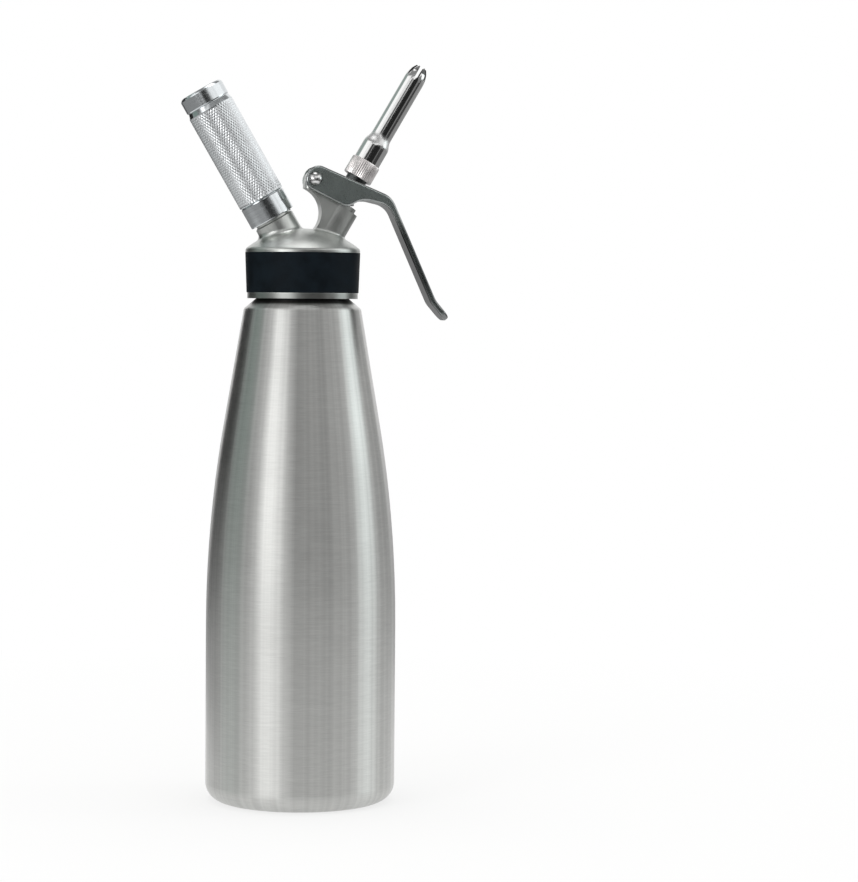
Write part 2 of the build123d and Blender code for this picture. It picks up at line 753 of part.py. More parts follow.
with BuildPart() as tip_washer:
    with BuildSketch(across(valve_axis, SPIGOT_TOP_T)):
        Circle(SPIGOT_R - 0.2)
        Circle(STEM_BORE_R, mode=Mode.SUBTRACT)
    extrude(amount=TIP_GASKET_H)
finish(tip_washer, "tip_washer")


def tip_outside():
    """Half section of the tip's outer shape, solid to the axis."""
    with BuildSketch(valve_side) as section:
        with BuildLine():
            Polyline(
                (0, ADAPTER_TOP_T),
                (TIP_SKIRT_R - 0.2, ADAPTER_TOP_T),
                (TIP_SKIRT_R, ADAPTER_TOP_T + 0.2),
                (TIP_SKIRT_R, TIP_SKIRT_TOP),
            )
            Spline((TIP_SKIRT_R, TIP_SKIRT_TOP), (TIP_TUBE_R, TIP_TUBE_BOTTOM), tangents=((0, 1), (0, 1)))
            Line((TIP_TUBE_R, TIP_TUBE_BOTTOM), (TIP_TUBE_R, TIP_OGIVE_T))
            TangentArc((TIP_TUBE_R, TIP_OGIVE_T), (TIP_END_R, TIP_END_T), tangent=(0, 1))
            Polyline((TIP_END_R, TIP_END_T), (0, TIP_END_T), (0, ADAPTER_TOP_T))
        make_face()
    return section.sketch


def tip_inside():
    """Half section of the tip's thread bore, cream bore and outlet."""
    tip_shoulder_t = SPIGOT_TOP_T + TIP_GASKET_H + SEAL_PLAY
    with BuildSketch(valve_side) as section:
        with BuildLine():
            Polyline(
                (0, ADAPTER_TOP_T - 1),
                (TIP_THREAD_R, ADAPTER_TOP_T - 1),
                (TIP_THREAD_R, tip_shoulder_t),
                (TIP_BORE_R, tip_shoulder_t),
                (TIP_BORE_R, TIP_OGIVE_T - 0.5),
            )
            TangentArc((TIP_BORE_R, TIP_OGIVE_T - 0.5), (TIP_OUTLET_R, TIP_END_T + 0.5), tangent=(0, 1))
            Polyline((TIP_OUTLET_R, TIP_END_T + 0.5), (0, TIP_END_T + 0.5), (0, ADAPTER_TOP_T - 1))
        make_face()
    return section.sketch


with BuildPart() as decorator_tip:
    revolve(tip_outside(), axis=valve_axis)
    revolve(tip_inside(), axis=valve_axis, mode=Mode.SUBTRACT)
    with BuildSketch(across(valve_axis, TIP_END_T)):
        with PolarLocations(0.5 * TIP_TUBE_R, TIP_SLOTS):
            Rectangle(TIP_TUBE_R + 1, TIP_SLOT_W)
    extrude(amount=-TIP_SLOT_H, mode=Mode.SUBTRACT)
    tip_thread_start = TIP_THREAD_START + 0.5 * TIP_PITCH
    thread(valve_axis, tip_thread_start, TIP_THREAD_R, -TIP_THREAD_DEPTH, TIP_PITCH, TIP_TURNS)
finish(decorator_tip, "decorator_tip")

# ---------------------------------------------------------------- lever and its pin


def heading(slope):
    """Unit vector in the side view that runs right and falls at the slope."""
    return Vector(cos(radians(slope)), -sin(radians(slope)))


def above(slope):
    """Unit vector square to the heading, on its upper right."""
    return Vector(sin(radians(slope)), cos(radians(slope)))


def meet(start, slope, other, other_slope):
    """The point where two lines in the side view cross."""
    gap = other - start
    share = gap.dot(above(other_slope)) / heading(slope).dot(above(other_slope))
    return start + heading(slope) * share


PIVOT = Vector(PIVOT_X, PIVOT_Z)
PLATE_FACE = PIVOT + above(PLATE_SLOPE) * PLATE_RISE

with BuildPart() as lever:
    arm_face = Vector(ARM_X, ARM_Z)
    toe_face = Vector(TOE_X, TOE_Z)
    arm_back = arm_face - above(ARM_SLOPE) * ARM_THICK
    toe_back = toe_face - above(TOE_SLOPE) * ARM_THICK
    heel = PIVOT - heading(PLATE_SLOPE) * HEEL_REACH
    cheek_low = Vector(CHEEK_LOW_X, CHEEK_LOW_Z)
    bend = meet(PLATE_FACE, PLATE_SLOPE, arm_face, ARM_SLOPE)
    arch_left = Vector(ARCH_LEFT_X, ARCH_LEFT_Z)
    arch_right = meet(arm_back, ARM_SLOPE, Vector(0, ARCH_RIGHT_Z), 0)
    outline = [
        PLATE_FACE - heading(PLATE_SLOPE) * HEEL_REACH,
        bend,
        meet(arm_face, ARM_SLOPE, toe_face, TOE_SLOPE),
        toe_face + heading(TOE_SLOPE) * TOE_LENGTH,
        toe_back + heading(TOE_SLOPE) * TOE_LENGTH,
        meet(arm_back, ARM_SLOPE, toe_back, TOE_SLOPE),
        arch_right,
        arch_left,
        cheek_low,
        meet(cheek_low, CHEEK_SLOPE, heel, PLATE_SLOPE - 90),
    ]
    corner_radii = [5.6, 10.0, 12.0, None, None, 9.0, 9.5, 10.0, 5.5, 5.2]
    with BuildSketch(Plane.XZ) as lever_section:
        with BuildLine():
            Polyline(*[(point.X, point.Y) for point in outline], close=True)
        make_face()
        for point, radius in zip(outline, corner_radii):
            if radius:
                nearest = lever_section.vertices().sort_by_distance((point.X, point.Y, 0))[0]
                fillet(nearest, radius)
    extrude(amount=LEVER_HALF, both=True)
    # Rounded toe seen from the front, then the long edges of the two sides.
    toe_tip = (toe_face + toe_back) * 0.5 + heading(TOE_SLOPE) * TOE_LENGTH
    toe_corners = lever.faces().filter_by(Axis.Y).edges().filter_by(
        lambda edge: (Vector(edge.center().X, edge.center().Z) - toe_tip).length < 0.1
    )
    fillet(toe_corners, TOE_CORNER_R)
    long_edges = lever.faces().filter_by(Axis.Y).edges().filter_by(
        lambda edge: abs(edge.length - ARM_THICK) > 0.1
    )
    fillet(long_edges, LEVER_EDGE_FILLET)
    # Channel between the cheeks, open at the heel.
    under_face = PLATE_FACE - above(PLATE_SLOPE) * PLATE_THICK
    under_start = under_face - heading(PLATE_SLOPE) * 2 * HEEL_REACH
    under_end = under_face + heading(PLATE_SLOPE) * CHANNEL_LENGTH
    depth = above(PLATE_SLOPE) * CHANNEL_DEPTH
    with BuildSketch(Plane.XZ):
        with BuildLine():
            channel = [under_start, under_end, under_end - depth, under_start - depth]
            Polyline(*[(point.X, point.Y) for point in channel], close=True)
        make_face()
    extrude(amount=LEVER_INNER_HALF, both=True, mode=Mode.SUBTRACT)
    # Slot that the valve stem passes through.
    stem_crossing = by_valve(SLOT_N, PLATE_UNDER_T)
    slot_plane = Plane(
        (stem_crossing[0], 0, stem_crossing[1]),
        x_dir=(heading(PLATE_SLOPE).X, 0, heading(PLATE_SLOPE).Y),
        z_dir=(above(PLATE_SLOPE).X, 0, above(PLATE_SLOPE).Y),
    )
    with BuildSketch(slot_plane):
        SlotOverall(SLOT_LENGTH, SLOT_W)
    extrude(amount=4 * PLATE_THICK, both=True, mode=Mode.SUBTRACT)
    with BuildSketch(Plane.XZ):
        with Locations((PIVOT_X, PIVOT_Z)):
            Circle(PIN_SHAFT_R + RUNNING_FIT)
    extrude(amount=LEVER_HALF + 1, both=True, mode=Mode.SUBTRACT)
finish(lever, "lever")

# The pin's own frame: local X and Y lie in the side view and local Z runs back towards +Y.
pin_plane = Plane((PIVOT_X, 0, PIVOT_Z), x_dir=(1, 0, 0), z_dir=(0, 1, 0))
pin_axis = Axis((PIVOT_X, 0, PIVOT_Z), (0, 1, 0))
pin_side = Plane((PIVOT_X, 0, PIVOT_Z), x_dir=(1, 0, 0), z_dir=(0, 0, 1))
PIN_SEAT = LEVER_HALF + RUNNING_FIT

with BuildPart() as lever_pin:
    dome_r = (PIN_HEAD_R**2 + PIN_HEAD_H**2) / (2 * PIN_HEAD_H)
    with BuildSketch(pin_side) as pin_section:
        with BuildLine():
            RadiusArc((0, -PIN_SEAT - PIN_HEAD_H), (PIN_HEAD_R, -PIN_SEAT), -dome_r)
            Polyline(
                (PIN_HEAD_R, -PIN_SEAT),
                (PIN_SHAFT_R, -PIN_SEAT),
                (PIN_SHAFT_R, PIN_SEAT + 2.0),
                (0, PIN_SEAT + 2.0),
                (0, -PIN_SEAT - PIN_HEAD_H),
            )
        make_face()
    revolve(pin_section.sketch, axis=pin_axis)
    groove = [
        (CLIP_GROOVE_R, PIN_SEAT),
        (PIN_SHAFT_R + 1, PIN_SEAT),
        (PIN_SHAFT_R + 1, PIN_SEAT + CLIP_THICK),
        (CLIP_GROOVE_R, PIN_SEAT + CLIP_THICK),
    ]
    turned(groove, pin_side, pin_axis, Mode.SUBTRACT)
finish(lever_pin, "lever_pin")

with BuildPart() as lever_pin_clip:
    with BuildSketch(pin_plane.offset(PIN_SEAT)):
        Circle(CLIP_R)
        Circle(CLIP_GROOVE_R, mode=Mode.SUBTRACT)
        with Locations((0, CLIP_R)):
            Rectangle(2 * CLIP_GROOVE_R, 2 * CLIP_R, mode=Mode.SUBTRACT)
    extrude(amount=CLIP_THICK)
finish(lever_pin_clip, "lever_pin_clip")
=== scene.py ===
"""Whipped cream dispenser: finishes, fine detail, studio and camera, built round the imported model.

Angles are degrees and lengths are metres, apart from the sizes of the pieces made here, which are
millimetres along and from a leaning axis. Everything is in the model's own frame: the origin is the
middle of the base, +Z is up, +X leans towards the lever and -X towards the charger holder.
"""

import json
from math import cos, pi, radians, sin

import bmesh
import bpy
from mathutils import Matrix, Vector

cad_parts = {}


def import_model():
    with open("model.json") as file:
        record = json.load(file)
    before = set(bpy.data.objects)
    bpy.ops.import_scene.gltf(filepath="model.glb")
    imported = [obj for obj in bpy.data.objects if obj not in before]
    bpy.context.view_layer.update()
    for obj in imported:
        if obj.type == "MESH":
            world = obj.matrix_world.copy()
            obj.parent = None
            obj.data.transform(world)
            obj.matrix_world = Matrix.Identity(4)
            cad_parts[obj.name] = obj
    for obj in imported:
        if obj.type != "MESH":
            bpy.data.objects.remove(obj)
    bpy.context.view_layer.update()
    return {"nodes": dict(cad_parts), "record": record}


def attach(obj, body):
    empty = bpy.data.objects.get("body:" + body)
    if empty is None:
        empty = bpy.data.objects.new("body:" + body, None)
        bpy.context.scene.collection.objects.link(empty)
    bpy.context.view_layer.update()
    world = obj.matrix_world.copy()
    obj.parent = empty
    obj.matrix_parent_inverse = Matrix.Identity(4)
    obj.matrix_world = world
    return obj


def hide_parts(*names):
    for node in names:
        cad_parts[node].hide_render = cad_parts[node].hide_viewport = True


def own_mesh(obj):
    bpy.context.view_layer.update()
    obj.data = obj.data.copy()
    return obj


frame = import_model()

MM = 0.001

# The leaning axes: both cross the bottle's axis at one point and lean by the same angle.
CROSSING = Vector((0, 0, 258.0)) * MM
LEAN = 30.0
CHARGER_AXIS = Vector((-sin(radians(LEAN)), 0, cos(radians(LEAN))))
VALVE_AXIS = Vector((sin(radians(LEAN)), 0, cos(radians(LEAN))))

# Camera: where it looks, from which side, and how long its lens is.
VIEW_TARGET = Vector((62.68, 0, 175.57)) * MM
VIEW_AZIMUTH = -8.58
VIEW_ELEVATION = 2.81
VIEW_DISTANCE = 1.4
VIEW_ROLL = 0.45
LENS = 116.55
SENSOR = 36.0

# Heights, in metres, between which one finish of a piece gives way to another, and where painted
# shade begins or ends: on the bottle's neck, the head's lip and bottom rim, and the lever's arm.
NECK_PAINTED_SHADE = (0.2418, 0.2428)
RIM_POLISH_AND_PAINTED_SHADE = (0.2470, 0.2480)
HEAD_LIP_PAINTED_SHADE = (0.2665, 0.2694)
LEVER_ARM = (0.276, 0.284)
LEVER_TOE = (0.2445, 0.2525)

# Distances along the valve's axis, in metres: up to the first pair a piece is the lever's pin and
# beyond it the tip, and the second pair is the shoulder of the tip.
PIN_END = (0.045, 0.050)
TIP_SHOULDER = (0.0712, 0.0762)

# Inside this distance from the valve's axis the tip is its bore, which is coloured dark as painted
# shade.
TIP_BORE_R = 4.25 * MM

# The lever's pin, and where the edge of its domed head begins, which is darkened as painted shade.
PIVOT = Vector((5.0, 0, 302.6)) * MM
PIN_EDGE_R = 2.5 * MM
PIN_EDGE_SOFT = 0.9 * MM

# ---------------------------------------------------------------- node materials


RANGE_SOCKETS = ("From Min", "From Max", "To Min", "To Max")


def set_range(node, *numbers):
    """Sets a Map Range node's start and end, and what they map to."""
    for socket, number in zip(RANGE_SOCKETS, numbers):
        node.inputs[socket].default_value = number


class Finish:
    """One node material, built up by small steps on its Principled shader."""

    def __init__(self, name, colour, metallic, roughness):
        self.material = bpy.data.materials.new(name)
        self.material.use_nodes = True
        self.tree = self.material.node_tree
        self.shader = next(node for node in self.tree.nodes if node.type == "BSDF_PRINCIPLED")
        self.colour = colour
        self.set("Base Color", (*colour, 1))
        self.set("Metallic", metallic)
        self.set("Roughness", roughness)
        self.place = self.node("ShaderNodeTexCoord").outputs["Object"]

    def node(self, kind, **settings):
        made = self.tree.nodes.new(kind)
        for key, value in settings.items():
            setattr(made, key, value)
        return made

    def set(self, socket, value):
        self.shader.inputs[socket].default_value = value

    def link(self, source, target):
        self.tree.links.new(source, target)

    def noise(
        self, scale, detail=3.0, stretch=(1, 1, 1), distortion=0.0, axis=None, place=None
    ):
        """Noise whose grain is 1/scale metres, with a factor on the scale along each axis."""
        place = self.place if place is None else place
        mapping = self.node("ShaderNodeMapping")
        mapping.inputs["Scale"].default_value = [scale * s for s in stretch]
        if axis is not None:
            tilt = self.node("ShaderNodeMapping", vector_type="TEXTURE")
            tilt.inputs["Rotation"].default_value = axis.to_track_quat("Z", "Y").to_euler()
            self.link(place, tilt.inputs["Vector"])
            self.link(tilt.outputs["Vector"], mapping.inputs["Vector"])
        else:
            self.link(place, mapping.inputs["Vector"])
        texture = self.node("ShaderNodeTexNoise")
        texture.inputs["Scale"].default_value = 1.0
        texture.inputs["Detail"].default_value = detail
        texture.inputs["Distortion"].default_value = distortion
        self.link(mapping.outputs["Vector"], texture.inputs["Vector"])
        return texture.outputs["Fac"]

    def spread(self, value, low, high, start=0.35, end=0.65):
        """Maps a value from start to end, by default a noise's, onto the range from low to high."""
        made = self.node("ShaderNodeMapRange")
        set_range(made, start, end, low, high)
        self.link(value, made.inputs["Value"])
        return made.outputs["Result"]

    def math(self, operation, first, second):
        """A Math node over two values, each a socket or a number."""
        made = self.node("ShaderNodeMath", operation=operation)
        for socket, value in zip(made.inputs, (first, second)):
            if isinstance(value, (int, float)):
                socket.default_value = value
            else:
                self.link(value, socket)
        return made.outputs["Value"]

    def tint(self, factor, low, high):
        """Colours the surface from one shade to another by the factor."""
        mix = self.node("ShaderNodeMix", data_type="RGBA")
        mix.inputs["A"].default_value = (*low, 1)
        mix.inputs["B"].default_value = (*high, 1)
        self.link(factor, mix.inputs["Factor"])
        self.link(mix.outputs["Result"], self.shader.inputs["Base Color"])

    def shade(self, factor, amount):
        """Colours the surface lighter and darker than its own colour by a share of it."""
        darker = [c * (1 - amount) for c in self.colour]
        lighter = [min(1, c * (1 + amount)) for c in self.colour]
        self.tint(factor, darker, lighter)

    def darken(self, factor, amount):
        """Makes the colour darker by a share of it where the factor is 1."""
        scale = self.node("ShaderNodeVectorMath", operation="SCALE")
        base = self.shader.inputs["Base Color"]
        self.link(base.links[0].from_socket, scale.inputs[0])
        self.link(self.spread(factor, 1.0, 1.0 - amount, 0.0, 1.0), scale.inputs["Scale"])
        self.link(scale.outputs["Vector"], base)

    def rough(self, value):
        """Takes the roughness from a value."""
        self.link(value, self.shader.inputs["Roughness"])

    def bump(self, height, strength, depth):
        """Raises the surface a little by a value."""
        made = self.node("ShaderNodeBump")
        made.inputs["Strength"].default_value = strength
        made.inputs["Distance"].default_value = depth
        self.link(height, made.inputs["Height"])
        self.link(made.outputs["Normal"], self.shader.inputs["Normal"])

    def brushed_round(self, anisotropy):
        """Stretches highlights along the vertical axis, as brushing round it does."""
        tangent = self.node("ShaderNodeTangent", direction_type="RADIAL", axis="Z")
        self.link(tangent.outputs["Tangent"], self.shader.inputs["Tangent"])
        self.set("Anisotropic", anisotropy)
        self.set("Anisotropic Rotation", 0.25)

    def away(self, origin):
        """The vector from the origin to each point."""
        made = self.node("ShaderNodeVectorMath", operation="SUBTRACT")
        made.inputs[1].default_value = origin
        self.link(self.place, made.inputs[0])
        return made.outputs["Vector"]

    def from_axis(self, axis, origin=CROSSING):
        """The vector round an axis at each point; its length is the distance from the axis."""
        made = self.node("ShaderNodeVectorMath", operation="CROSS_PRODUCT")
        made.inputs[0].default_value = axis
        self.link(self.away(origin), made.inputs[1])
        return made.outputs["Vector"]

    def unit(self, vector):
        """The vector at length 1."""
        made = self.node("ShaderNodeVectorMath", operation="NORMALIZE")
        self.link(vector, made.inputs[0])
        return made.outputs["Vector"]

    def turned_round(self, axis, anisotropy):
        """Stretches highlights along a leaning axis, as turning round it does."""
        world = self.node("ShaderNodeVectorTransform", vector_type="VECTOR")
        world.convert_from = "OBJECT"
        world.convert_to = "WORLD"
        self.link(self.from_axis(axis), world.inputs["Vector"])
        self.link(self.unit(world.outputs["Vector"]), self.shader.inputs["Tangent"])
        self.set("Anisotropic", anisotropy)
        self.set("Anisotropic Rotation", 0.25)

    def inside(self, axis, radius, origin=CROSSING, soft=0.0001):
        """1 nearer to an axis than the radius, and 0 beyond it."""
        length = self.node("ShaderNodeVectorMath", operation="LENGTH")
        self.link(self.from_axis(axis, origin), length.inputs[0])
        return self.spread(length.outputs["Value"], 1.0, 0.0, radius - soft, radius + soft)

    def along(self, axis):
        """The distance along a leaning axis from the crossing of the two, in metres."""
        dot = self.node("ShaderNodeVectorMath", operation="DOT_PRODUCT")
        self.link(self.away(CROSSING), dot.inputs[0])
        dot.inputs[1].default_value = axis
        return dot.outputs["Value"]

    def band(self, value, start, end, soft):
        """1 where the value lies between start and end, and 0 beyond them."""
        rise = self.spread(value, 0.0, 1.0, start - soft, start + soft)
        fall = self.spread(value, 1.0, 0.0, end - soft, end + soft)
        return self.math("MULTIPLY", rise, fall)

    def part(self, vector, axis):
        """One of the three numbers of a vector."""
        split = self.node("ShaderNodeSeparateXYZ")
        self.link(vector, split.inputs["Vector"])
        return split.outputs[axis]

    def sideways(self):
        """How squarely the surface faces front or back: 1 for the lever's flat sides."""
        normal = self.node("ShaderNodeTexCoord").outputs["Normal"]
        return self.math("ABSOLUTE", self.part(normal, "Y"), 0.0)

    def height(self):
        """Height above the base, in metres."""
        return self.part(self.place, "Z")

    def blend(self, first, second, share=0.5):
        """The sum of two values, the first by its share and the second by the rest."""
        first = self.math("MULTIPLY", first, share)
        return self.math("ADD", first, self.math("MULTIPLY", second, 1 - share))


def bottle_steel():
    """Drawn stainless steel with faint streaks up it, brushed round with fine level lines."""
    made = Finish("bottle_steel", (0.575, 0.578, 0.562), 1.0, 0.38)
    fine = made.noise(3600.0, 2.0, (0.05, 0.05, 1))
    coarse = made.noise(900.0, 3.0, (0.06, 0.06, 1))
    cloud = made.noise(22.0, 3.0)
    lines = made.blend(fine, coarse, 0.65)
    streaks = made.noise(17.0, 3.0, place=made.unit(made.from_axis((0, 0, 1), (0, 0, 0))))
    made.shade(made.spread(made.blend(lines, streaks), 0.0, 1.0, 0.40, 0.60), 0.10)
    made.rough(made.math("ADD", made.spread(lines, 0.33, 0.40), made.spread(cloud, -0.02, 0.03)))
    # Painted shade: the neck above the shoulder, in the gap under the head, is darkened.
    made.darken(made.spread(made.height(), 0.0, 1.0, *NECK_PAINTED_SHADE), 0.85)
    made.bump(lines, 0.04, 0.00003)
    made.brushed_round(0.93)
    return made.material


def head_steel():
    """Cast stainless steel, blasted to an even satin; its polished bottom rim and lip get painted
    shade.
    """
    made = Finish("head_steel", (0.605, 0.622, 0.60), 1.0, 0.33)
    grain = made.noise(2400.0, 3.0)
    cloud = made.noise(60.0, 4.0)
    marks = made.noise(150.0, 2.0, (1, 1, 0.25), distortion=0.6)
    made.shade(made.spread(made.blend(cloud, marks), 0.0, 1.0), 0.12)
    # Painted shade: the lip over the band is darkened, to dim its bright edge.
    made.darken(made.band(made.height(), *HEAD_LIP_PAINTED_SHADE, 0.0006), 0.18)
    # Painted shade: the bottom rim is darkened; only its slightly lower roughness is the turned
    # polish.
    rim = made.spread(made.height(), 1.0, 0.0, *RIM_POLISH_AND_PAINTED_SHADE)
    made.darken(rim, 0.45)
    satin = made.math("ADD", made.spread(grain, 0.34, 0.40), made.spread(cloud, -0.03, 0.03))
    made.rough(made.math("SUBTRACT", satin, made.math("MULTIPLY", rim, 0.02)))
    made.bump(grain, 0.12, 0.00005)
    return made.material


def lever_steel():
    """Satin steel, more polished at the edges; the flat sides are painted lighter, the edges darker.
    """
    made = Finish("lever_steel", (0.50, 0.57, 0.55), 1.0, 0.27)
    grain = made.noise(3000.0, 2.0)
    cloud = made.noise(90.0, 4.0, distortion=0.4)
    flat = made.spread(made.sideways(), 0.0, 1.0, 0.93, 0.99)
    arm = made.spread(made.height(), 1.0, 0.0, *LEVER_ARM)
    above_toe = made.spread(made.height(), 0.0, 1.0, *LEVER_TOE)
    rounded = made.math("SUBTRACT", 1.0, flat)
    # Painted light and shade: the flat sides are coloured lighter and the rounded edges darker.
    made.tint(flat, (0.33, 0.34, 0.34), (0.52, 0.585, 0.565))
    # Painted shade: the arm under the plate is darkened, more at its rounded edges, down to the toe.
    made.darken(made.math("MULTIPLY", arm, above_toe), 0.42)
    made.darken(made.math("MULTIPLY", arm, rounded), 0.40)
    satin = made.math("ADD", made.spread(grain, 0.27, 0.33), made.spread(cloud, -0.01, 0.01))
    satin = made.math("SUBTRACT", satin, made.math("MULTIPLY", rounded, 0.12))
    made.rough(made.math("SUBTRACT", satin, made.math("MULTIPLY", arm, 0.05)))
    return made.material


def polished_steel():
    """Polished stainless steel of tip and pin; painted shade darkens the tip's bore and the pin's
    edge.
    """
    made = Finish("polished_steel", (0.78, 0.78, 0.775), 1.0, 0.07)
    marks = made.noise(260.0, 4.0, (1, 1, 0.25), axis=VALVE_AXIS)
    bore = made.inside(VALVE_AXIS, TIP_BORE_R)
    # Painted shade: the tip's bore is coloured dark.
    made.tint(bore, (0.76, 0.76, 0.755), (0.10, 0.10, 0.10))
    pin = made.spread(made.along(VALVE_AXIS), 1.0, 0.0, *PIN_END)
    middle = made.inside((0, 1, 0), PIN_EDGE_R, PIVOT, PIN_EDGE_SOFT)
    # Painted shade: the pin is darkened beyond the middle of its domed head.
    made.darken(made.math("MULTIPLY", pin, made.math("SUBTRACT", 1.0, middle)), 0.85)
    shoulder = made.band(made.along(VALVE_AXIS), *TIP_SHOULDER, 0.0012)
    polish = made.spread(marks, 0.09, 0.12)
    for place, extra in ((bore, 0.30), (shoulder, 0.30), (pin, 0.10)):
        polish = made.math("ADD", polish, made.math("MULTIPLY", place, extra))
    made.rough(polish)
    return made.material


def holder_aluminium():
    """Bright turned aluminium with fine lathe lines round the leaning axis."""
    made = Finish("holder_aluminium", (0.67, 0.70, 0.715), 1.0, 0.18)
    lines = made.noise(1400.0, 2.0, (0.04, 0.04, 1), axis=CHARGER_AXIS)
    cloud = made.noise(110.0, 3.0)
    made.shade(made.spread(lines, 0.0, 1.0), 0.03)
    made.rough(made.math("ADD", made.spread(lines, 0.17, 0.20), made.spread(cloud, -0.005, 0.005)))
    made.turned_round(CHARGER_AXIS, 0.45)
    return made.material


def knurled_aluminium():
    """The holder's aluminium where the knurling tool has left it satin."""
    made = Finish("knurled_aluminium", (0.79, 0.81, 0.825), 1.0, 0.33)
    grain = made.noise(3000.0, 2.0)
    cloud = made.noise(110.0, 3.0)
    made.shade(made.spread(cloud, 0.0, 1.0), 0.04)
    made.rough(made.math("ADD", made.spread(grain, 0.30, 0.35), made.spread(cloud, -0.01, 0.01)))
    return made.material


def adapter_aluminium():
    """Pale satin aluminium."""
    made = Finish("adapter_aluminium", (0.92, 0.88, 0.87), 1.0, 0.4)
    grain = made.noise(2600.0, 2.0)
    made.shade(made.spread(grain, 0.0, 1.0), 0.03)
    made.rough(made.spread(grain, 0.33, 0.38))
    return made.material


def valve_steel():
    """Turned stainless steel with fine tool marks round the valve's axis."""
    made = Finish("valve_steel", (0.58, 0.585, 0.59), 1.0, 0.22)
    lines = made.noise(4200.0, 2.0, (0.05, 0.05, 1), axis=VALVE_AXIS)
    made.shade(made.spread(lines, 0.0, 1.0), 0.06)
    made.rough(made.spread(lines, 0.17, 0.28))
    made.bump(lines, 0.08, 0.00003)
    return made.material


def charger_steel():
    """Bare drawn steel with faint lines along the leaning axis."""
    made = Finish("charger_steel", (0.60, 0.61, 0.63), 1.0, 0.26)
    lines = made.noise(2200.0, 3.0, (1, 1, 0.05), axis=CHARGER_AXIS)
    cloud = made.noise(80.0, 4.0)
    made.shade(made.spread(cloud, 0.0, 1.0), 0.07)
    made.rough(made.math("ADD", made.spread(lines, 0.20, 0.30), made.spread(cloud, -0.02, 0.04)))
    made.bump(lines, 0.06, 0.00003)
    return made.material


def collar_steel():
    """Turned steel coloured nearly black, with fine tool marks round the valve's axis."""
    made = Finish("collar_steel", (0.10, 0.105, 0.105), 1.0, 0.3)
    lines = made.noise(4200.0, 2.0, (0.05, 0.05, 1), axis=VALVE_AXIS)
    made.shade(made.spread(lines, 0.0, 1.0), 0.15)
    made.rough(made.spread(lines, 0.25, 0.38))
    made.bump(lines, 0.08, 0.00003)
    return made.material


def silicone(name, colour, roughness, mottle, gloss=0.5):
    """Moulded silicone rubber with a fine skin and a little dust."""
    made = Finish(name, colour, 0.0, roughness)
    made.set("Specular IOR Level", gloss)
    skin = made.noise(1800.0, 3.0)
    dust = made.noise(140.0, 4.0)
    made.shade(made.spread(dust, 0.0, 1.0), mottle)
    even = made.spread(skin, roughness - 0.05, roughness + 0.05)
    made.rough(made.math("ADD", even, made.spread(dust, -0.04, 0.04)))
    made.bump(skin, 0.10, 0.00004)
    return made.material


FINISHES = {
    "bottle_steel": bottle_steel(),
    "head_steel": head_steel(),
    "lever_steel": lever_steel(),
    "polished_steel": polished_steel(),
    "holder_aluminium": holder_aluminium(),
    "adapter_aluminium": adapter_aluminium(),
    "valve_steel": valve_steel(),
    "charger_steel": charger_steel(),
    "collar_steel": collar_steel(),
    "band_silicone": silicone("band_silicone", (0.003, 0.006, 0.009), 0.55, 0.25, 0.07),
    "seal_silicone": silicone("seal_silicone", (0.48, 0.07, 0.05), 0.45, 0.10),
    "washer_silicone": silicone("washer_silicone", (0.80, 0.80, 0.77), 0.45, 0.04),
}
for subpart in frame["record"]["subparts"]:
    mesh = frame["nodes"][subpart["node"]].data
    for index in range(len(mesh.materials)):
        mesh.materials[index] = FINISHES[subpart["material_slot"]]

# ---------------------------------------------------------------- pieces with fine detail


def leaning(axis):
    """The matrix from a turned piece's own frame, with Z along its axis, to the model's frame."""
    across = Vector((0, 1, 0))
    side = across.cross(axis)
    turn = Matrix((across, side, axis)).transposed().to_4x4()
    return Matrix.Translation(CROSSING) @ turn


def placed(name, mesh, axis):
    """An object made of a mesh that was drawn in its own frame, put on a leaning axis."""
    bmesh.ops.recalc_face_normals(mesh, faces=mesh.faces)
    data = bpy.data.meshes.new(name)
    mesh.to_mesh(data)
    mesh.free()
    data.transform(leaning(axis))
    made = bpy.data.objects.new(name, data)
    bpy.context.scene.collection.objects.link(made)
    return made


def turned(name, axis, rings, columns, faceted=()):
    """A closed mesh turned about a leaning axis.

    rings lists (shape, radius, height), from one end to the other and, where the ends aren't points
    on the axis, back to the start. A shape is a function of the angle, the column and the height
    that adds to the radius, or None. A ring of radius 0 is a single point. The rows in faceted are
    split into triangles and get the second material.
    """
    mesh = bmesh.new()
    loops = []
    for shape, radius, height in rings:
        if radius == 0:
            loops.append([mesh.verts.new((0, 0, height * MM))])
            continue
        loop = []
        for column in range(columns):
            angle = 2 * pi * column / columns
            reach = radius + (shape(angle, column, height) if shape else 0)
            corner = (reach * cos(angle) * MM, reach * sin(angle) * MM, height * MM)
            loop.append(mesh.verts.new(corner))
        loops.append(loop)
    joined = list(zip(loops, loops[1:]))
    if len(loops[0]) > 1:
        joined.append((loops[-1], loops[0]))
    for row, (low, high) in enumerate(joined):
        for column in range(columns):
            ahead = (column + 1) % columns
            if len(low) == 1:
                mesh.faces.new((low[0], high[ahead], high[column]))
            elif len(high) == 1:
                mesh.faces.new((low[column], low[ahead], high[0]))
            elif row in faceted:
                # Facets split along the line that joins their two low corners.
                a, b, c, d = low[column], low[ahead], high[ahead], high[column]
                halves = ((a, b, c), (a, c, d)) if (row + column) % 2 else ((a, b, d), (b, c, d))
                for corners in halves:
                    mesh.faces.new(corners).material_index = 1
            else:
                mesh.faces.new((low[column], low[ahead], high[ahead], high[column]))
    return placed(name, mesh, axis)


def smooth(piece, limit=35.0):
    """Smooth shading, with edges sharper than the limit kept crisp."""
    piece.data.shade_smooth()
    piece.data.set_sharp_from_angle(angle=radians(limit))


# A thread's rib: how broad it is, and how steep its flanks are.
RIB_BREADTH = 1.6
RIB_FLANK = 4.5


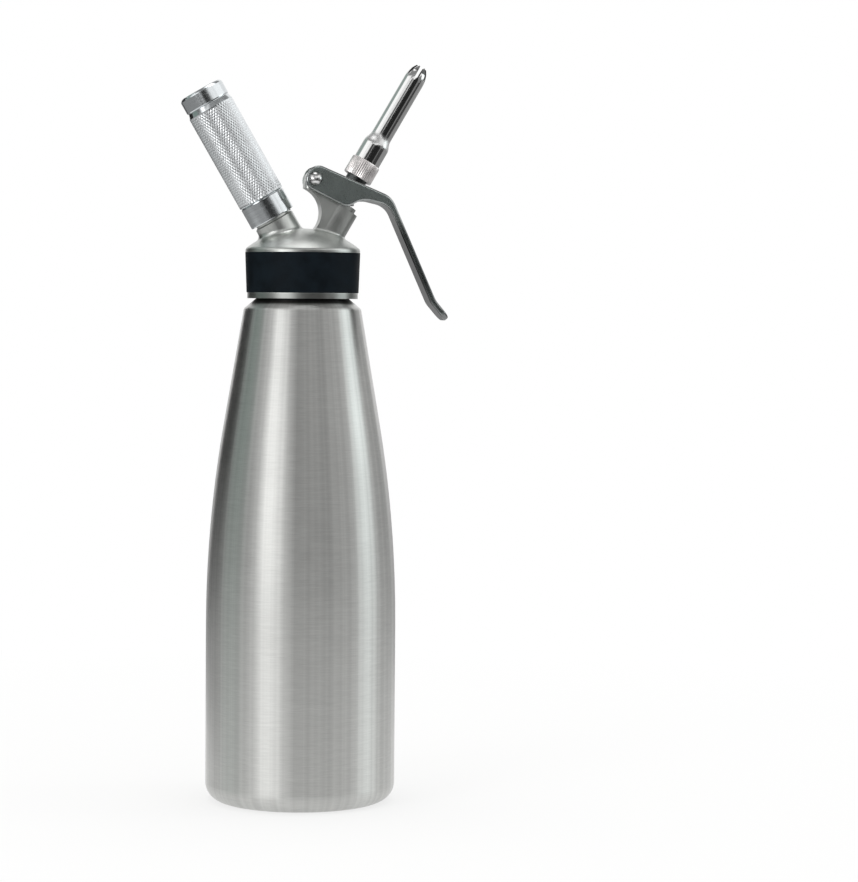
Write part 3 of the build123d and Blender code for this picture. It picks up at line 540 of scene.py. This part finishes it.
def helix(depth, pitch, start, end):
    """A thread's rib as a shape for rings: depth is outwards, and its ends fade over a turn."""

    def shape(angle, column, height):
        phase = ((height - start) / pitch - angle / (2 * pi)) % 1.0
        rib = min(1.0, max(0.0, RIB_BREADTH - RIB_FLANK * abs(phase - 0.5)))
        fade = min(1.0, max(0.0, (height - start) / pitch), max(0.0, (end - height) / pitch))
        return depth * rib * fade

    return shape


def plain(radius, height):
    """A round ring."""
    return None, radius, height


def steps(start, end, count):
    """Evenly spaced numbers from start to end, both included."""
    return [start + (end - start) * i / count for i in range(count + 1)]


# Charger holder: a foot band, a knurled grip with bevelled ends, and a cap. The small numbers in
# its rings are the roundings of its edges.
HOLDER_BOTTOM = 29.6
HOLDER_TOP = 100.3
FOOT_R = 11.4
FOOT_TOP = 40.2
GRIP_R = 11.67
GRIP_TOP = 92.3
CAP_R = 11.3
BORE_R = 9.3
BORE_END = 95.6
THREAD_BORE_R = 10.05
THREAD_TOP = 38.8
HOLDER_THREAD = helix(-0.7, 2.5, 30.65, 37.4)
HOLDER_THREAD_ROWS = 46
KNURL_STARTS = 51
KNURL_DEPTH = 0.18
KNURL_ROW = 1.21
KNURL_START = 41.3
KNURL_END = 89.6


def charger_holder():
    """The holder, from the end of its bore down the inside and up the outside."""
    columns = 2 * KNURL_STARTS
    rows = round((KNURL_END - KNURL_START) / KNURL_ROW)
    bore = steps(THREAD_TOP, HOLDER_BOTTOM + 0.3, HOLDER_THREAD_ROWS)
    rings = [plain(0, BORE_END), plain(BORE_R, BORE_END), plain(BORE_R, THREAD_TOP + 0.8)]
    rings += [(HOLDER_THREAD, THREAD_BORE_R, height) for height in bore]
    rings += [
        plain(THREAD_BORE_R + 0.25, HOLDER_BOTTOM),
        plain(FOOT_R - 0.35, HOLDER_BOTTOM),
        plain(FOOT_R - 0.08, HOLDER_BOTTOM + 0.1),
        plain(FOOT_R, HOLDER_BOTTOM + 0.4),
        plain(FOOT_R, FOOT_TOP - 0.4),
        plain(FOOT_R - 0.08, FOOT_TOP - 0.12),
        plain(FOOT_R - 0.45, FOOT_TOP),
        plain(FOOT_R - 0.45, FOOT_TOP + 0.15),
        plain(GRIP_R - 0.2, FOOT_TOP + 0.45),
        plain(GRIP_R - 0.03, FOOT_TOP + 0.7),
    ]
    first = len(rings)

    def peaks(row):
        return lambda angle, column, height: -KNURL_DEPTH if (row + column) % 2 else 0.0

    for row, height in enumerate(steps(KNURL_START, KNURL_END, rows), first):
        rings.append((peaks(row), GRIP_R, height))
    last = len(rings) - 1
    rings += [
        plain(GRIP_R - 0.05, KNURL_END + 0.4),
        plain(GRIP_R - 0.12, KNURL_END + 0.55),
        plain(CAP_R - 0.45, GRIP_TOP),
        plain(CAP_R - 0.45, GRIP_TOP + 0.2),
        plain(CAP_R - 0.1, GRIP_TOP + 0.45),
        plain(CAP_R, GRIP_TOP + 0.75),
        plain(CAP_R, HOLDER_TOP - 1.3),
        plain(CAP_R - 0.3, HOLDER_TOP - 0.8),
        plain(CAP_R - 0.75, HOLDER_TOP - 0.3),
        plain(CAP_R - 1.2, HOLDER_TOP),
        plain(4.0, HOLDER_TOP),
        plain(0, HOLDER_TOP),
    ]
    made = turned("holder_knurled", CHARGER_AXIS, rings, columns, range(first, last))
    smooth(made, 9.0)
    made.data.materials.append(FINISHES["holder_aluminium"])
    made.data.materials.append(knurled_aluminium())
    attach(made, "holder")
    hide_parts("charger_holder")


charger_holder()

# Tip adapter: a collar with ridges along it, and a threaded spigot that the tip screws onto.
ADAPTER_BOTTOM = 52.6
ADAPTER_TOP = 61.6
ADAPTER_R = 7.3
RIDGES = 44
RIDGE_DEPTH = 0.20
SPIGOT_R = 4.6
SPIGOT_TOP = 66.2
STEM_R = 4.0
STEM_SEAT = 59.0
CREAM_BORE_R = 2.5
SPIGOT_THREAD = helix(0.5, 1.5, 62.2, 65.9)
SPIGOT_THREAD_ROWS = 34
RIDGE_STEPS = (0.0, 0.45, 1.0, 0.45)


def ridge(angle, column, height):
    """Ridges along the axis as a shape for rings."""
    return -RIDGE_DEPTH * RIDGE_STEPS[column % len(RIDGE_STEPS)]


def tip_adapter():
    """The adapter, up the outside and down the inside."""
    thread = steps(ADAPTER_TOP + 0.2, SPIGOT_TOP - 0.3, SPIGOT_THREAD_ROWS)
    rings = [
        plain(STEM_R, ADAPTER_BOTTOM),
        plain(ADAPTER_R - 0.5, ADAPTER_BOTTOM),
        (ridge, ADAPTER_R - 0.15, ADAPTER_BOTTOM + 0.1),
        (ridge, ADAPTER_R, ADAPTER_BOTTOM + 0.45),
        (ridge, ADAPTER_R, ADAPTER_TOP - 0.45),
        (ridge, ADAPTER_R - 0.15, ADAPTER_TOP - 0.1),
        plain(ADAPTER_R - 0.5, ADAPTER_TOP),
        plain(SPIGOT_R, ADAPTER_TOP),
    ]
    rings += [(SPIGOT_THREAD, SPIGOT_R, height) for height in thread]
    rings += [
        plain(SPIGOT_R - 0.3, SPIGOT_TOP),
        plain(CREAM_BORE_R, SPIGOT_TOP),
        plain(CREAM_BORE_R, STEM_SEAT),
        plain(STEM_R, STEM_SEAT),
    ]
    made = turned("adapter_ridged", VALVE_AXIS, rings, len(RIDGE_STEPS) * RIDGES)
    smooth(made)
    made.data.materials.append(FINISHES["adapter_aluminium"])
    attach(made, "valve")
    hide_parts("tip_adapter")


tip_adapter()

# Valve spring: a coil that stands in the head's pocket, under the collar that comes down on it.
# Here it is one fixed mesh, which doesn't shorten.
COIL_BOTTOM = 30.05
COIL_TOP = 43.55
COIL_R = 4.9
WIRE_R = 0.55
COIL_TURNS = 5.5
STEPS_A_TURN = 32
WIRE_SIDES = 12


def valve_spring():
    """The coil, as a ring of corners that goes up a helix."""
    mesh = bmesh.new()
    count = round(COIL_TURNS * STEPS_A_TURN)
    climb = COIL_TOP - COIL_BOTTOM - 2 * WIRE_R
    slope = climb / (2 * pi * COIL_TURNS)
    loops = []
    for step in range(count + 1):
        turn = 2 * pi * COIL_TURNS * step / count
        outward = Vector((cos(turn), sin(turn), 0))
        along = Vector((-sin(turn) * COIL_R, cos(turn) * COIL_R, slope)).normalized()
        middle = outward * COIL_R + Vector((0, 0, COIL_BOTTOM + WIRE_R + slope * turn))
        upward = along.cross(outward)
        ring = []
        for corner in range(WIRE_SIDES):
            angle = 2 * pi * corner / WIRE_SIDES
            reach = (outward * cos(angle) + upward * sin(angle)) * WIRE_R
            ring.append(mesh.verts.new((middle + reach) * MM))
        loops.append(ring)
    for low, high in zip(loops, loops[1:]):
        for corner in range(WIRE_SIDES):
            ahead = (corner + 1) % WIRE_SIDES
            mesh.faces.new((low[corner], low[ahead], high[ahead], high[corner]))
    mesh.faces.new(loops[0])
    mesh.faces.new(loops[-1])
    made = placed("spring_coil", mesh, VALVE_AXIS)
    smooth(made)
    made.data.materials.append(FINISHES["valve_steel"])
    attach(made, "head")
    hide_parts("valve_spring")
    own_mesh(made)


valve_spring()

# ---------------------------------------------------------------- studio


def facing(angle):
    """Level unit vector at an angle round the object, from the camera's side and to its right."""
    turn = radians(VIEW_AZIMUTH + angle)
    return Vector((sin(turn), -cos(turn), 0))


def glow(name, colour, level):
    """A material that shines where the mesh's cover is 1 and is clear where it is 0."""
    material = bpy.data.materials.new(name)
    material.use_nodes = True
    if level <= 1:
        # Only the bright cards are sampled as lamps.
        material.cycles.emission_sampling = "NONE"
    tree = material.node_tree
    tree.nodes.clear()
    shine = tree.nodes.new("ShaderNodeEmission")
    shine.inputs["Color"].default_value = (*colour, 1)
    shine.inputs["Strength"].default_value = level
    cover = tree.nodes.new("ShaderNodeAttribute")
    cover.attribute_name = "cover"
    mix = tree.nodes.new("ShaderNodeMixShader")
    tree.links.new(cover.outputs["Fac"], mix.inputs["Fac"])
    tree.links.new(tree.nodes.new("ShaderNodeBsdfTransparent").outputs[0], mix.inputs[1])
    tree.links.new(shine.outputs[0], mix.inputs[2])
    tree.links.new(mix.outputs[0], tree.nodes.new("ShaderNodeOutputMaterial").inputs["Surface"])
    return material


def soft_steps(start, end, soft, count=1):
    """Pairs of (number, cover) from start to end: cover rises to 1 and falls again within soft."""
    if soft == 0:
        return [(value, 1.0) for value in steps(start, end, count)]
    full = [(value, 1.0) for value in steps(start + soft, end - soft, count)]
    return [(start, 0.0)] + full + [(end, 0.0)]


def panel(name, across, along, place, level, colour):
    """A grid of two lists of (number, cover), put at place(a, b), which only reflections see."""
    mesh = bmesh.new()
    cover = mesh.verts.layers.float.new("cover")
    rows = []
    for a, cover_a in across:
        row = []
        for b, cover_b in along:
            corner = mesh.verts.new(place(a, b))
            corner[cover] = cover_a * cover_b
            row.append(corner)
        rows.append(row)
    for low, high in zip(rows, rows[1:]):
        for i in range(len(along) - 1):
            mesh.faces.new((low[i], high[i], high[i + 1], low[i + 1]))
    data = bpy.data.meshes.new(name)
    mesh.to_mesh(data)
    mesh.free()
    data.materials.append(glow(name, colour, level))
    made = bpy.data.objects.new(name, data)
    bpy.context.scene.collection.objects.link(made)
    made.visible_camera = made.visible_diffuse = made.visible_shadow = False


CARD_DISTANCE = 1.25
CARD_STEP = 4.0


def card(
    name,
    start,
    end,
    level,
    bottom=0.0,
    top=1.3,
    colour=(1, 1, 1),
    distance=CARD_DISTANCE,
    soft=5.0,
    fade=0.0,
):
    """A curved upright card between two angles, with soft sides and, by the fade, soft ends."""
    across = soft_steps(start, end, soft, max(1, round((end - start - 2 * soft) / CARD_STEP)))
    panel(
        name,
        across,
        soft_steps(bottom, top, fade),
        lambda angle, height: facing(angle) * distance + Vector((0, 0, height)),
        level,
        colour,
    )


PALE_GREEN = (0.85, 1.0, 0.95)
PALE_BLUE = (0.92, 1.0, 1.0)

# Cards that overlap stand at distances of their own.
card("flag_rear_left", -152, -105, 0.02, top=0.85, distance=1.28)
card("panel_left", -108, -74, 0.32, top=0.85, colour=(0.80, 1.0, 0.92), distance=1.26)
card("panel_left_high", -150, -84, 0.40, bottom=0.85, top=1.5, colour=PALE_GREEN, fade=0.05)
card("card_left", -82, -54, 0.22, top=0.60, distance=1.27)
card("card_front_left", -30, -2, 1.3, bottom=0.16, top=0.5, distance=1.235, soft=10.0, fade=0.1)
card("flag_front", -26, 50, 0.02, top=0.64, distance=1.25)
card("flag_front_high", -48, 10, 0.02, bottom=0.54, top=0.90, distance=1.2, soft=20.0, fade=0.07)
card("card_front", -14, 60, 1.25, bottom=0.62, top=1.0, distance=1.26, fade=0.06)
card("card_front_right", 44, 78, 0.24, top=0.62, distance=1.24)
card("card_rear_right", 106, 150, 0.42, top=0.6, fade=0.05)
card("card_upper_right", 56, 125, 1.3, bottom=0.80, top=1.38, distance=1.24, soft=12.0, fade=0.10)
card("key_card", -57, -12, 4.6, bottom=0.18, top=0.74, distance=1.22, soft=15.0, fade=0.18)
card("key_card_high", -66, -16, 1.1, bottom=0.60, top=1.1, distance=1.23, soft=14.0, fade=0.10)
card(
    "side_card",
    76,
    112,
    2.5,
    bottom=0.16,
    top=0.80,
    colour=PALE_BLUE,
    distance=1.22,
    soft=11.0,
    fade=0.2,
)
card("upper_card", -95, -40, 1.25, bottom=0.75, top=1.6, distance=1.21, soft=12.0, fade=0.10)
card("flag_over_front", -34, 50, 0.30, bottom=1.05, top=1.5, fade=0.04)


LEVEL_CARD_STEP = 6.0


def level_card(name, start, end, level, near, far, height, soft):
    """A level card, part of a ring about the object, with soft curved edges."""
    panel(
        name,
        soft_steps(start, end, 0.0, max(2, round((end - start) / LEVEL_CARD_STEP))),
        soft_steps(near, far, soft),
        lambda angle, reach: facing(angle) * reach + Vector((0, 0, height)),
        level,
        (1, 1, 1),
    )


level_card("floor_flag_near_left", -180, 0, 0.30, 0.42, 0.75, 0.001, soft=0.05)
level_card("floor_flag_near_right", 0, 180, 0.40, 0.42, 0.75, 0.001, soft=0.05)
level_card("floor_flag_front", 10, 85, 0.05, 0.66, 8.0, 0.002, soft=0.05)
level_card("floor_flag_rest", 85, 370, 0.30, 0.66, 8.0, 0.002, soft=0.05)
level_card("ceiling_flag", -180, 180, 0.28, 0.40, 1.25, 1.45, soft=0.1)


def softbox(
    name, angle, width, height, middle, radiance, colour=(1, 1, 1), distance=1.15, tilt=0.0
):
    """An area lamp of even radiance for matte pieces, level or pointing down by the tilt."""
    lamp = bpy.data.lights.new(name, "AREA")
    lamp.shape = "RECTANGLE"
    lamp.size = width
    lamp.size_y = height
    lamp.color = colour
    lamp.energy = radiance * pi * width * height
    made = bpy.data.objects.new(name, lamp)
    made.location = facing(angle) * distance + Vector((0, 0, middle))
    towards = facing(angle) * cos(radians(tilt)) + Vector((0, 0, sin(radians(tilt))))
    made.rotation_euler = towards.to_track_quat("Z", "Y").to_euler()
    made.visible_camera = made.visible_glossy = False
    bpy.context.scene.collection.objects.link(made)


softbox("key_softbox", -36, 0.52, 1.2, 0.62, 1.9)
softbox("side_softbox", 93, 0.40, 1.0, 0.52, 1.3, colour=PALE_BLUE)
softbox("top_softbox", 170, 0.7, 0.6, 1.4, 2.2, distance=0.14, tilt=90.0)
level_card("top_card", 0, 360, 3.2, 0.0, 0.36, 1.4, soft=0.12)


# Between these two distances from the middle, the share of white in the floor's look rises from
# the first of the two shares to the second.
FLOOR_RADIUS = 40.0
FLOOR_FADE = (0.10, 0.60)
FLOOR_WHITE = (0.72, 1.0)


def floor():
    """A pale level floor that keeps a soft shadow near the object and turns white further out."""
    mesh = bmesh.new()
    bmesh.ops.create_circle(mesh, cap_ends=True, radius=FLOOR_RADIUS, segments=96)
    data = bpy.data.meshes.new("floor")
    mesh.to_mesh(data)
    mesh.free()
    material = bpy.data.materials.new("floor")
    material.use_nodes = True
    tree = material.node_tree
    tree.nodes.clear()
    node = tree.nodes.new
    matte = node("ShaderNodeBsdfDiffuse")
    matte.inputs["Color"].default_value = (0.80, 0.80, 0.79, 1)
    white = node("ShaderNodeEmission")
    place = node("ShaderNodeTexCoord")
    far = node("ShaderNodeVectorMath")
    far.operation = "LENGTH"
    tree.links.new(place.outputs["Object"], far.inputs[0])
    fade = node("ShaderNodeMapRange")
    set_range(fade, *FLOOR_FADE, *FLOOR_WHITE)
    tree.links.new(far.outputs["Value"], fade.inputs["Value"])
    rays = node("ShaderNodeLightPath")
    direct = node("ShaderNodeMath")
    direct.operation = "MAXIMUM"
    tree.links.new(rays.outputs["Is Camera Ray"], direct.inputs[0])
    tree.links.new(rays.outputs["Is Glossy Ray"], direct.inputs[1])
    seen = node("ShaderNodeMath")
    seen.operation = "MULTIPLY"
    tree.links.new(direct.outputs["Value"], seen.inputs[0])
    tree.links.new(fade.outputs["Result"], seen.inputs[1])
    mix = node("ShaderNodeMixShader")
    tree.links.new(seen.outputs["Value"], mix.inputs["Fac"])
    tree.links.new(matte.outputs[0], mix.inputs[1])
    tree.links.new(white.outputs[0], mix.inputs[2])
    tree.links.new(mix.outputs[0], node("ShaderNodeOutputMaterial").inputs["Surface"])
    data.materials.append(material)
    made = bpy.data.objects.new("floor", data)
    bpy.context.scene.collection.objects.link(made)


floor()


def world():
    """Even white light all round."""
    made = bpy.data.worlds.new("studio")
    made.use_nodes = True
    background = made.node_tree.nodes["Background"]
    background.inputs["Color"].default_value = (1, 1, 1, 1)
    background.inputs["Strength"].default_value = 1.0
    bpy.context.scene.world = made


world()
bpy.context.scene.view_settings.view_transform = "Standard"


def camera():
    """The camera looks at the target from its azimuth and elevation, with a slight roll."""
    azimuth = radians(VIEW_AZIMUTH)
    rise = radians(VIEW_ELEVATION)
    back = Vector((sin(azimuth) * cos(rise), -cos(azimuth) * cos(rise), sin(rise)))
    right = Vector((cos(azimuth), sin(azimuth), 0))
    turn = Matrix((right, back.cross(right), back)).transposed().to_4x4()
    data = bpy.data.cameras.new("camera")
    data.lens = LENS
    data.sensor_width = SENSOR
    data.clip_start = 0.1
    data.clip_end = 100.0
    made = bpy.data.objects.new("camera", data)
    stand = Matrix.Translation(VIEW_TARGET + back * VIEW_DISTANCE)
    made.matrix_world = stand @ turn @ Matrix.Rotation(radians(VIEW_ROLL), 4, "Z")
    bpy.context.scene.collection.objects.link(made)
    bpy.context.scene.camera = made


camera()
